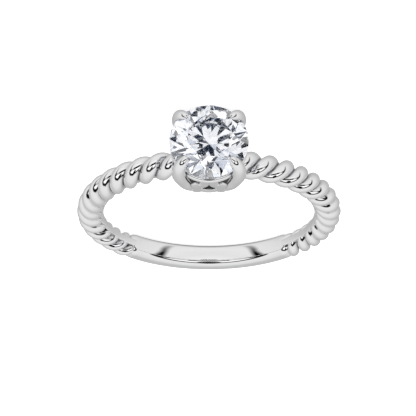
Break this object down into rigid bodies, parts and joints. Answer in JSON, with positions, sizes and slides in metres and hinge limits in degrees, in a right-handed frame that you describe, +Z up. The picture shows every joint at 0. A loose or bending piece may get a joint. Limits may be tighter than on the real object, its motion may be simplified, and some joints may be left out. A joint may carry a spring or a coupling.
{
  "type": "solitaire engagement ring",
  "caption": "Solitaire ring with rope-twist shoulders, a plain polished shank and a round brilliant-cut stone held by claws over a small open basket.",
  "frame": {"origin": "middle of the lying ring's footprint, on the surface that it rests on", "axes": "+Z up from the surface, -Y from the finger's hole towards the stone, +Y towards the plain shank, +X across the band"},
  "size_m": [0.0216, 0.0252, 0.0063],
  "materials": {
    "white_gold": "mirror polished and rhodium plated",
    "diamond": "polished facets"
  },
  "bodies": {
    "root": {"ring_mount": "white_gold", "centre_stone": "diamond"}
  },
  "joints": []
}
